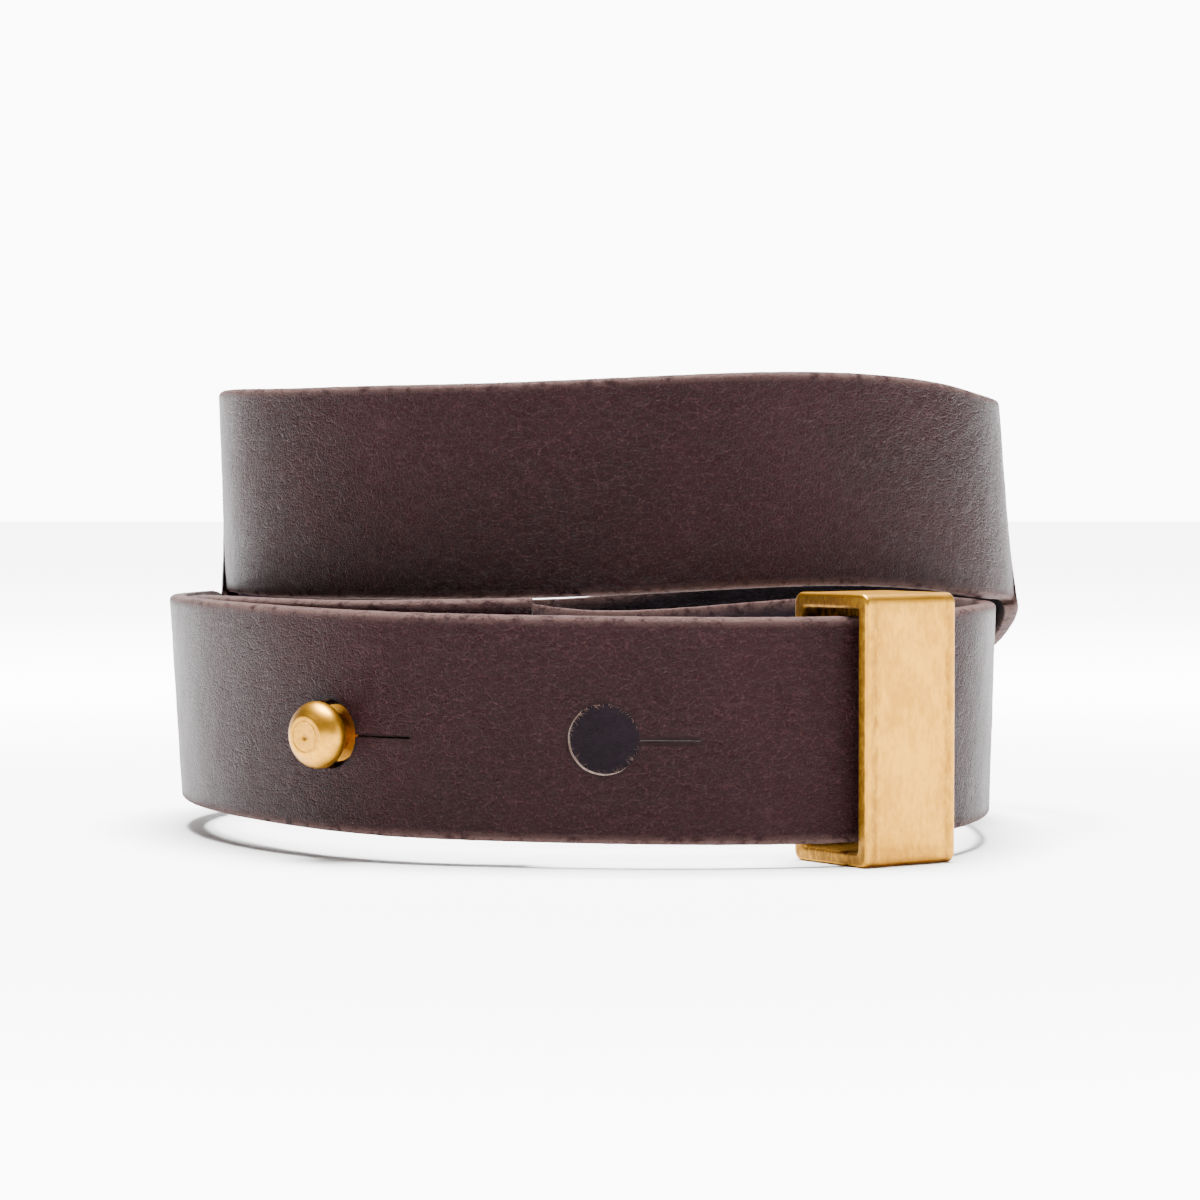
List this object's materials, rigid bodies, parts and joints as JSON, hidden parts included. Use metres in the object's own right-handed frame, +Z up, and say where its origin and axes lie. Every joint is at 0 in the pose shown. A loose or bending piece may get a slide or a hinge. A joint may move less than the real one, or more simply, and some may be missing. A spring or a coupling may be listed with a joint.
{
  "type": "leather belt",
  "caption": "Leather belt wound on itself and standing on edge, its slit-holed tail buttoned over a brass stud and passed through a sliding brass keeper loop.",
  "frame": {"origin": "middle of the belt's footprint, on the surface it stands on", "axes": "+Z up across the strap's width, front of the belt with its stud and keeper loop facing -Y, stud to the left (-X), keeper loop to the right (+X)"},
  "size_m": [0.149, 0.1412, 0.0775],
  "materials": {
    "strap_inner_turn": "satin, pebbled grain",
    "strap_upper_turn": "satin, pebbled grain",
    "strap_lower_return": "satin, pebbled grain",
    "strap_tail": "satin, pebbled grain",
    "keeper_loop": "worn satin",
    "stud_head": "worn satin",
    "stud_screw": "worn satin"
  },
  "bodies": {
    "strap": {"strap_inner_turn": "strap_inner_turn", "strap_upper_turn": "strap_upper_turn", "strap_lower_return": "strap_lower_return"},
    "tail": {"strap_tail": "strap_tail"},
    "keeper": {"keeper_loop": "keeper_loop"},
    "stud": {"stud_head": "stud_head"},
    "screw": {"stud_screw": "stud_screw"}
  },
  "joints": [
    {"name": "tail_unhook", "type": "slide", "parent": "strap", "child": "tail", "axis": [-0.6362, -0.7707, -0.0349], "range_m": [0, 0.0095]},
    {"name": "keeper_slide", "type": "hinge", "parent": "strap", "child": "keeper", "pos_m": [0.02825, -0.03703, 0], "axis": [0, 0, 1], "range_deg": [-20, 22]},
    {"name": "stud_spin", "type": "hinge", "parent": "strap", "child": "stud", "pos_m": [-0.04021, -0.0542, 0.02], "axis": [-0.6362, -0.7707, -0.0349], "continuous": true},
    {"name": "screw_turn", "type": "hinge", "parent": "stud", "child": "screw", "pos_m": [-0.04021, -0.0542, 0.02], "axis": [-0.6362, -0.7707, -0.0349], "range_deg": [-720, 0]}
  ]
}
